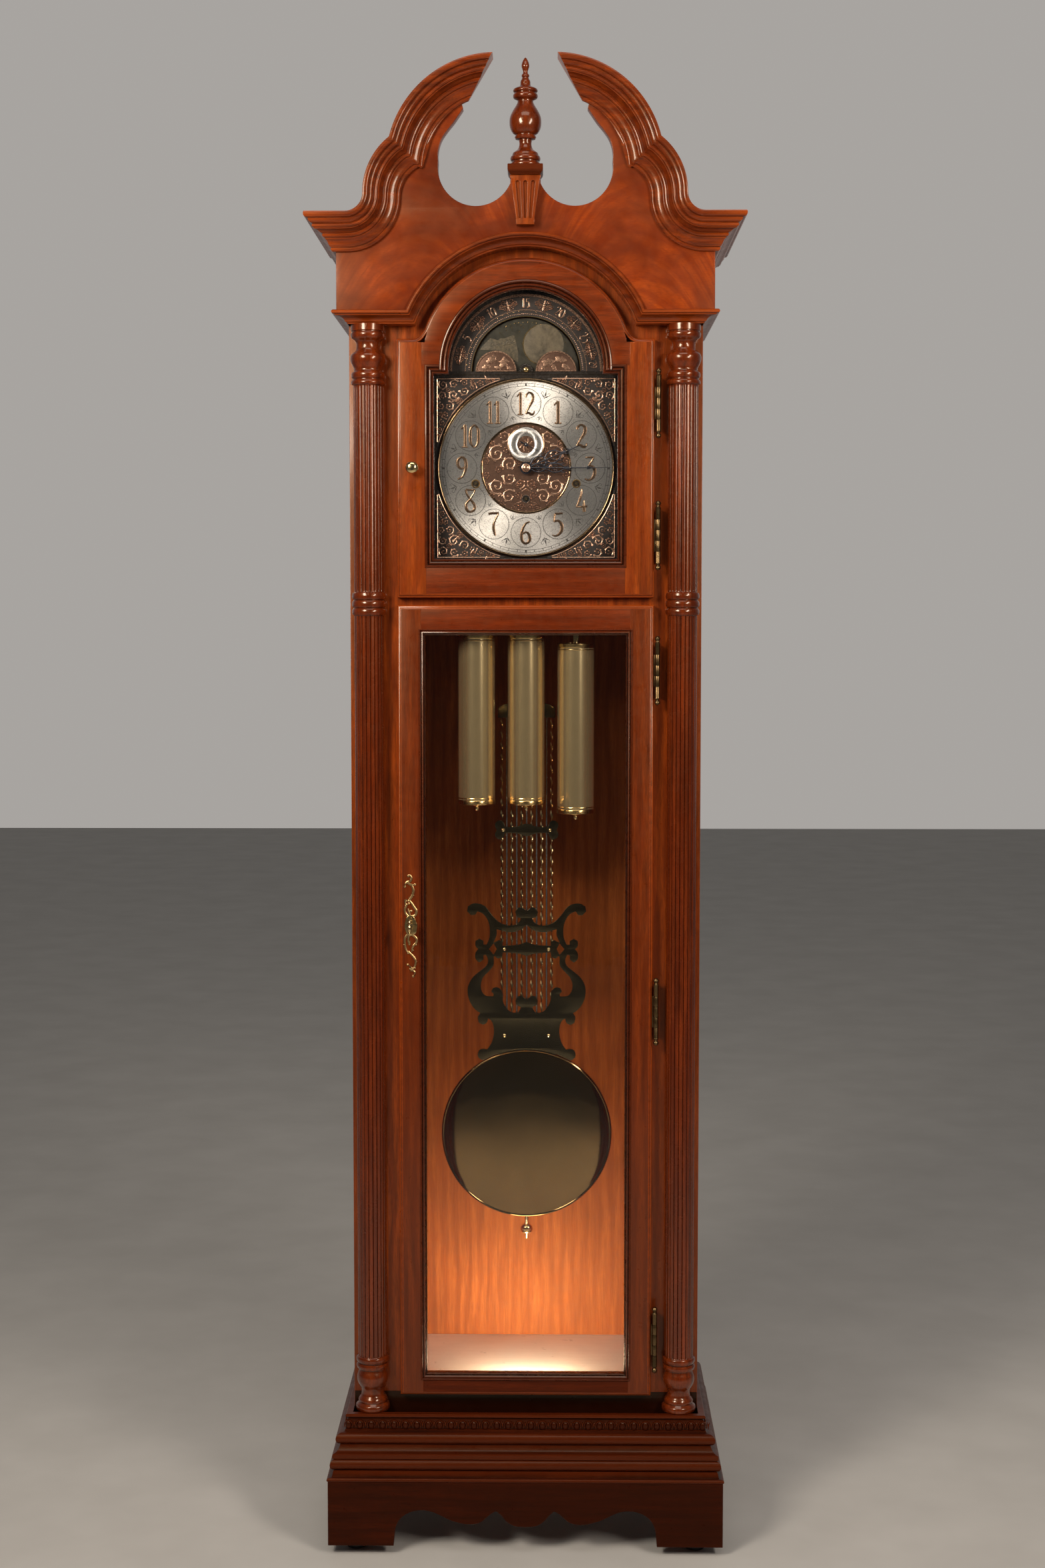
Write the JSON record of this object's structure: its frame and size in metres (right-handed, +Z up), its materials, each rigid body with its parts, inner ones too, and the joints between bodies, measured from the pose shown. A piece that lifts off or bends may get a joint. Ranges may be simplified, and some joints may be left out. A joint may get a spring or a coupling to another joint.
{
  "type": "grandfather clock",
  "caption": "Tall longcase clock with broken-arch pediment, side columns, two hinged glazed doors, moon-phase dial, lyre pendulum, brass weights on pulleys and a coupled going train.",
  "frame": {"origin": "centre of the footprint, on the floor under the levelling feet", "axes": "+Z up along the case; the dial faces -Y; +X to the right seen from the front; +Y towards the wall"},
  "size_m": [0.65, 0.385, 2.26],
  "materials": {
    "wood_panel": "satin lacquer, figured veneer",
    "wood_dark": "satin lacquer",
    "brass": "polished",
    "silver_dial": "brushed, silvered",
    "copper_casting": "antique cast",
    "black_plate": "satin black",
    "black_hands": "satin black",
    "moon_paint": "printed",
    "steel": "brushed",
    "black_foot": "matte",
    "lamp": "opal",
    "clear_glass": "polished"
  },
  "bodies": {
    "case": {"side_panels": "wood_panel", "back_panel": "wood_dark", "floor_board": "wood_dark", "face_frame": "wood_panel", "base_aprons": "wood_dark", "base_moulding": "wood_dark", "egg_and_dart_strip": "wood_panel", "columns": "wood_dark", "pediment_board": "wood_panel", "hood_box": "wood_panel", "arch_moulding": "wood_dark", "swan_necks": "wood_dark", "cornice_returns": "wood_dark", "keystone": "wood_panel", "finial": "wood_dark", "seat_board": "wood_dark", "interior_lamp": "lamp", "cord_inlet": "black_foot", "hinge_case_leaves": "brass", "dial_plate": "black_plate", "chapter_ring": "silver_dial", "dial_castings": "copper_casting", "movement_plates": "brass", "chime_rods": "steel", "levelling_feet": "black_foot", "cable_left": "brass", "cable_center": "brass", "cable_right": "brass"},
    "upper_door": {"upper_door_frame": "wood_panel", "upper_door_glass": "clear_glass", "upper_door_knob": "brass", "upper_hinge_leaves": "brass"},
    "lower_door": {"lower_door_frame": "wood_panel", "lower_door_glass": "clear_glass", "escutcheon": "brass", "door_lock": "steel", "lower_hinge_leaves": "brass"},
    "key": {"door_key": "brass"},
    "hour": {"hour_hand": "black_hands"},
    "minute": {"minute_hand": "black_hands", "center_wheel": "brass"},
    "second": {"second_hand": "black_hands", "escape_wheel": "brass"},
    "third": {"third_wheel": "brass"},
    "moon": {"moon_disc": "moon_paint"},
    "anchor": {"pallet_anchor": "steel"},
    "pendulum": {"pendulum_lyre": "brass", "pendulum_rods": "brass", "pendulum_bob": "brass"},
    "nut": {"rating_nut": "brass"},
    "drum_left_body": {"drum_left": "brass"},
    "drum_center_body": {"drum_center": "brass"},
    "drum_right_body": {"drum_right": "brass"},
    "weight_left_body": {"weight_left": "brass"},
    "weight_center_body": {"weight_center": "brass"},
    "weight_right_body": {"weight_right": "brass"},
    "pulley_left_body": {"pulley_left": "brass"},
    "pulley_center_body": {"pulley_center": "brass"},
    "pulley_right_body": {"pulley_right": "brass"},
    "hammers": {"chime_hammers": "brass"}
  },
  "joints": [
    {"name": "upper_door_hinge", "type": "hinge", "parent": "case", "child": "upper_door", "pos_m": [0.199, -0.127, 1.66], "axis": [0, 0, 1], "range_deg": [0, 105]},
    {"name": "lower_door_hinge", "type": "hinge", "parent": "case", "child": "lower_door", "pos_m": [0.199, -0.127, 0.84], "axis": [0, 0, 1], "range_deg": [0, 105]},
    {"name": "key_turn", "type": "hinge", "parent": "lower_door", "child": "key", "pos_m": [-0.175, -0.13, 0.969], "axis": [0, 1, 0], "range_deg": [-90, 90]},
    {"name": "minute_hand_turn", "type": "hinge", "parent": "case", "child": "minute", "pos_m": [0, -0.05, 1.664], "axis": [0, 1, 0], "continuous": true},
    {"name": "hour_hand_turn", "type": "hinge", "parent": "case", "child": "hour", "pos_m": [0, -0.08, 1.664], "axis": [0, 1, 0], "continuous": true},
    {"name": "third_wheel_turn", "type": "hinge", "parent": "case", "child": "third", "pos_m": [0.03006, -0.03, 1.67989], "axis": [0, 1, 0], "continuous": true},
    {"name": "second_hand_turn", "type": "hinge", "parent": "case", "child": "second", "pos_m": [0, -0.05, 1.6997], "axis": [0, 1, 0], "continuous": true},
    {"name": "moon_disc_turn", "type": "hinge", "parent": "case", "child": "moon", "pos_m": [0, -0.074, 1.81], "axis": [0, 1, 0], "continuous": true},
    {"name": "pendulum_swing", "type": "hinge", "parent": "case", "child": "pendulum", "pos_m": [0, 0.008, 1.722], "axis": [0, 1, 0], "range_deg": [-3, 3]},
    {"name": "anchor_rock", "type": "hinge", "parent": "case", "child": "anchor", "pos_m": [0, -0.03, 1.722], "axis": [0, 1, 0], "range_deg": [-3, 3]},
    {"name": "rating_nut_turn", "type": "hinge", "parent": "pendulum", "child": "nut", "pos_m": [0, 0.008, 0.464], "axis": [0, 0, 1], "continuous": true},
    {"name": "hammer_strike", "type": "hinge", "parent": "case", "child": "hammers", "pos_m": [0, 0.136, 1.764], "axis": [1, 0, 0], "range_deg": [0, 5.5]},
    {"name": "weight_left_drop", "type": "slide", "parent": "case", "child": "weight_left_body", "axis": [0, 0, -1], "range_m": [0, 0.85], "deforming": ["cable_left"]},
    {"name": "drum_left_turn", "type": "hinge", "parent": "case", "child": "drum_left_body", "pos_m": [-0.0766, -0.05, 1.6405], "axis": [0, 1, 0], "range_deg": [-6100, 1]},
    {"name": "pulley_left_turn", "type": "hinge", "parent": "weight_left_body", "child": "pulley_left_body", "pos_m": [-0.0766, -0.054, 1.444], "axis": [0, 1, 0], "range_deg": [-3050, 1]},
    {"name": "weight_center_drop", "type": "slide", "parent": "case", "child": "weight_center_body", "axis": [0, 0, -1], "range_m": [0, 0.85], "deforming": ["cable_center"]},
    {"name": "drum_center_turn", "type": "hinge", "parent": "case", "child": "drum_center_body", "pos_m": [0, -0.05, 1.6178], "axis": [0, 1, 0], "range_deg": [-6100, 1]},
    {"name": "pulley_center_turn", "type": "hinge", "parent": "weight_center_body", "child": "pulley_center_body", "pos_m": [0, -0.054, 1.444], "axis": [0, 1, 0], "range_deg": [-3050, 1]},
    {"name": "weight_right_drop", "type": "slide", "parent": "case", "child": "weight_right_body", "axis": [0, 0, -1], "range_m": [0, 0.85], "deforming": ["cable_right"]},
    {"name": "drum_right_turn", "type": "hinge", "parent": "case", "child": "drum_right_body", "pos_m": [0.0766, -0.05, 1.6405], "axis": [0, 1, 0], "range_deg": [-6100, 1]},
    {"name": "pulley_right_turn", "type": "hinge", "parent": "weight_right_body", "child": "pulley_right_body", "pos_m": [0.0766, -0.054, 1.43], "axis": [0, 1, 0], "range_deg": [-3050, 1]}
  ],
  "couplings": [
    {"joint": "hour_hand_turn", "follows": "minute_hand_turn", "ratio": 0.083333},
    {"joint": "third_wheel_turn", "follows": "minute_hand_turn", "ratio": -7.5},
    {"joint": "second_hand_turn", "follows": "minute_hand_turn", "ratio": 60},
    {"joint": "moon_disc_turn", "follows": "minute_hand_turn", "ratio": 0.0007055},
    {"joint": "anchor_rock", "follows": "pendulum_swing", "ratio": 1},
    {"joint": "drum_left_turn", "follows": "weight_left_drop", "rad_per_m": -125},
    {"joint": "pulley_left_turn", "follows": "weight_left_drop", "rad_per_m": -62.5},
    {"joint": "drum_center_turn", "follows": "weight_center_drop", "rad_per_m": -125},
    {"joint": "pulley_center_turn", "follows": "weight_center_drop", "rad_per_m": -62.5},
    {"joint": "drum_right_turn", "follows": "weight_right_drop", "rad_per_m": -125},
    {"joint": "pulley_right_turn", "follows": "weight_right_drop", "rad_per_m": -62.5}
  ]
}
